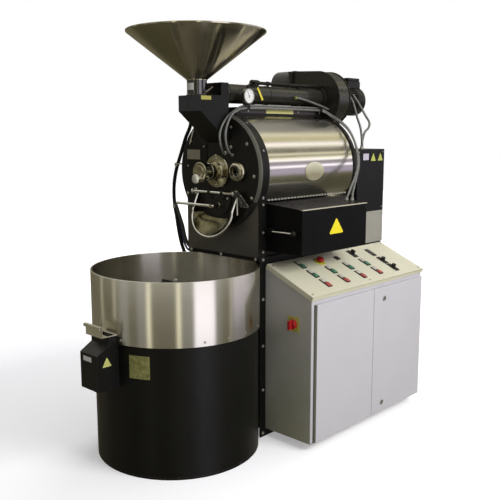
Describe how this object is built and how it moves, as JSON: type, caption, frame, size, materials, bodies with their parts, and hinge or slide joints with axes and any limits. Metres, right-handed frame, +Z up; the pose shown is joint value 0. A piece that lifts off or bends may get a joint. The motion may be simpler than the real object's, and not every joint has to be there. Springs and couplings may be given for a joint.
{
  "type": "coffee roaster",
  "caption": "Commercial drum coffee roaster with feed funnel, front discharge spout, round cooling bin with stirrer, exhaust fan and side control cabinet.",
  "frame": {"origin": "on the floor, on the cooling bin's axis", "axes": "+X to the right as the operator faces the front, +Y to the back along the drum's axis, +Z up"},
  "size_m": [0.9738, 1.938, 1.995],
  "materials": {
    "black_paint": "satin black powder coat",
    "skirt_paint": "satin light grey",
    "brushed_steel": "brushed stainless steel",
    "chrome": "polished",
    "machined_steel": "machined steel",
    "cast_iron": "painted casting",
    "cream_paint": "fine texture",
    "grey_paint": "fine texture",
    "black_rubber": "matt",
    "black_plastic": "satin",
    "green_plastic": "satin",
    "red_plastic": "satin",
    "pale_plastic": "satin",
    "yellow_paint": "gloss",
    "glass": "clear, dark behind"
  },
  "bodies": {
    "machine": {"base_frame": "black_paint", "front_arch": "skirt_paint", "face_disc": "black_paint", "rear_arch": "black_paint", "drum_jacket": "brushed_steel", "jacket_top_strip": "black_paint", "burner_chamber": "black_paint", "gas_burner": "cast_iron", "burner_box": "black_paint", "burner_box_lid": "black_paint", "drive_housing": "black_paint", "drive_motor": "cast_iron", "drive_chain": "machined_steel", "exhaust_pipe": "black_paint", "fan_scroll": "black_paint", "fan_motor": "black_paint", "gauge_pipework": "black_paint", "hopper_box": "black_paint", "hopper_funnel": "brushed_steel", "front_bearing_housing": "chrome", "sight_glass_ring": "chrome", "sight_glass": "glass", "discharge_spout": "chrome", "bin_shell": "black_paint", "bin_band": "brushed_steel", "bin_floor": "brushed_steel", "stirrer_gearbox": "cast_iron", "outlet_chute": "black_paint", "cabinet": "grey_paint", "control_panel": "cream_paint", "face_conduit": "machined_steel", "motor_conduits": "machined_steel", "left_hoses": "black_rubber"},
    "drum": {"roasting_drum": "machined_steel", "drum_shaft": "machined_steel"},
    "motor_sprocket": {"motor_sprocket": "machined_steel"},
    "fan_impeller": {"fan_impeller": "machined_steel"},
    "stirrer": {"stirrer": "machined_steel"},
    "trier": {"trier": "pale_plastic"},
    "discharge_door": {"discharge_door": "black_paint"},
    "feed_flap": {"feed_flap": "machined_steel"},
    "air_lever": {"air_lever": "chrome"},
    "valve_lever": {"valve_lever": "yellow_paint"},
    "bin_gate": {"bin_gate": "brushed_steel"},
    "cabinet_door_left": {"cabinet_door_left": "grey_paint"},
    "cabinet_door_right": {"cabinet_door_right": "grey_paint"},
    "isolator_knob": {"isolator_knob": "red_plastic"},
    "emergency_stop": {"emergency_stop": "red_plastic"},
    "selector_switch": {"selector_switch": "black_plastic"},
    "airflow_knob": {"airflow_knob": "black_plastic"},
    "temperature_knob": {"temperature_knob": "black_plastic"},
    "key_heat_on": {"key_heat_on": "green_plastic"},
    "key_drum_on": {"key_drum_on": "green_plastic"},
    "key_drum_off": {"key_drum_off": "red_plastic"},
    "key_fan_on": {"key_fan_on": "green_plastic"},
    "key_fan_off": {"key_fan_off": "red_plastic"},
    "key_cooling_on": {"key_cooling_on": "green_plastic"},
    "key_cooling_off": {"key_cooling_off": "red_plastic"},
    "key_stirrer_on": {"key_stirrer_on": "green_plastic"},
    "key_stirrer_off": {"key_stirrer_off": "red_plastic"}
  },
  "joints": [
    {"name": "drum_spin", "type": "hinge", "parent": "machine", "child": "drum", "pos_m": [0, 0.7, 1.336], "axis": [0, 1, 0], "continuous": true},
    {"name": "motor_spin", "type": "hinge", "parent": "machine", "child": "motor_sprocket", "pos_m": [0, 1.14, 1.03], "axis": [0, 1, 0], "continuous": true},
    {"name": "fan_spin", "type": "hinge", "parent": "machine", "child": "fan_impeller", "pos_m": [0, 1.1175, 1.709], "axis": [0, 1, 0], "continuous": true},
    {"name": "stirrer_spin", "type": "hinge", "parent": "machine", "child": "stirrer", "pos_m": [0, 0, 0.684], "axis": [0, 0, 1], "continuous": true},
    {"name": "trier_slide", "type": "slide", "parent": "machine", "child": "trier", "axis": [0, -1, 0], "range_m": [0, 0.265]},
    {"name": "discharge_door_swing", "type": "hinge", "parent": "machine", "child": "discharge_door", "pos_m": [0, 0.266, 1.231], "axis": [-1, 0, 0], "range_deg": [0, 70]},
    {"name": "feed_flap_turn", "type": "hinge", "parent": "machine", "child": "feed_flap", "pos_m": [0, 0.15, 1.714], "axis": [1, 0, 0], "range_deg": [0, 88]},
    {"name": "air_lever_turn", "type": "hinge", "parent": "machine", "child": "air_lever", "pos_m": [0.298, 0.35, 1.057], "axis": [0, -1, 0], "range_deg": [0, 75]},
    {"name": "valve_lever_turn", "type": "hinge", "parent": "machine", "child": "valve_lever", "pos_m": [0.051, 0.5, 1.77516], "axis": [1, 0, 0], "range_deg": [-30, 58]},
    {"name": "bin_gate_lift", "type": "slide", "parent": "machine", "child": "bin_gate", "axis": [0, 0, 1], "range_m": [0, 0.052]},
    {"name": "left_door_swing", "type": "hinge", "parent": "machine", "child": "cabinet_door_left", "pos_m": [0.563, 0.38, 0.3875], "axis": [0, 0, -1], "range_deg": [0, 110]},
    {"name": "right_door_swing", "type": "hinge", "parent": "machine", "child": "cabinet_door_right", "pos_m": [0.563, 1.319, 0.3875], "axis": [0, 0, 1], "range_deg": [0, 110]},
    {"name": "isolator_turn", "type": "hinge", "parent": "machine", "child": "isolator_knob", "pos_m": [0.44, 0.33, 0.622], "axis": [0, -1, 0], "range_deg": [0, 90]},
    {"name": "emergency_stop_press", "type": "slide", "parent": "machine", "child": "emergency_stop", "axis": [-0.3907, 0, -0.9205], "range_m": [0, 0.005]},
    {"name": "selector_turn", "type": "hinge", "parent": "machine", "child": "selector_switch", "pos_m": [0.32523, 0.9785, 0.86956], "axis": [0.3907, 0, 0.9205], "range_deg": [-45, 45]},
    {"name": "airflow_knob_turn", "type": "hinge", "parent": "machine", "child": "airflow_knob", "pos_m": [0.42464, 1.126, 0.82736], "axis": [0.3907, 0, 0.9205], "range_deg": [-150, 150]},
    {"name": "temperature_knob_turn", "type": "hinge", "parent": "machine", "child": "temperature_knob", "pos_m": [0.49368, 1.126, 0.79805], "axis": [0.3907, 0, 0.9205], "range_deg": [-150, 150]},
    {"name": "key_heat_on_press", "type": "slide", "parent": "machine", "child": "key_heat_on", "axis": [-0.3907, 0, -0.9205], "range_m": [0, 0.004], "stiffness_N_per_m": 300, "springref_m": -0.002},
    {"name": "key_drum_on_press", "type": "slide", "parent": "machine", "child": "key_drum_on", "axis": [-0.3907, 0, -0.9205], "range_m": [0, 0.004], "stiffness_N_per_m": 300, "springref_m": -0.002},
    {"name": "key_drum_off_press", "type": "slide", "parent": "machine", "child": "key_drum_off", "axis": [-0.3907, 0, -0.9205], "range_m": [0, 0.004], "stiffness_N_per_m": 300, "springref_m": -0.002},
    {"name": "key_fan_on_press", "type": "slide", "parent": "machine", "child": "key_fan_on", "axis": [-0.3907, 0, -0.9205], "range_m": [0, 0.004], "stiffness_N_per_m": 300, "springref_m": -0.002},
    {"name": "key_fan_off_press", "type": "slide", "parent": "machine", "child": "key_fan_off", "axis": [-0.3907, 0, -0.9205], "range_m": [0, 0.004], "stiffness_N_per_m": 300, "springref_m": -0.002},
    {"name": "key_cooling_on_press", "type": "slide", "parent": "machine", "child": "key_cooling_on", "axis": [-0.3907, 0, -0.9205], "range_m": [0, 0.004], "stiffness_N_per_m": 300, "springref_m": -0.002},
    {"name": "key_cooling_off_press", "type": "slide", "parent": "machine", "child": "key_cooling_off", "axis": [-0.3907, 0, -0.9205], "range_m": [0, 0.004], "stiffness_N_per_m": 300, "springref_m": -0.002},
    {"name": "key_stirrer_on_press", "type": "slide", "parent": "machine", "child": "key_stirrer_on", "axis": [-0.3907, 0, -0.9205], "range_m": [0, 0.004], "stiffness_N_per_m": 300, "springref_m": -0.002},
    {"name": "key_stirrer_off_press", "type": "slide", "parent": "machine", "child": "key_stirrer_off", "axis": [-0.3907, 0, -0.9205], "range_m": [0, 0.004], "stiffness_N_per_m": 300, "springref_m": -0.002}
  ],
  "couplings": [
    {"joint": "motor_spin", "follows": "drum_spin", "ratio": 2.5}
  ]
}
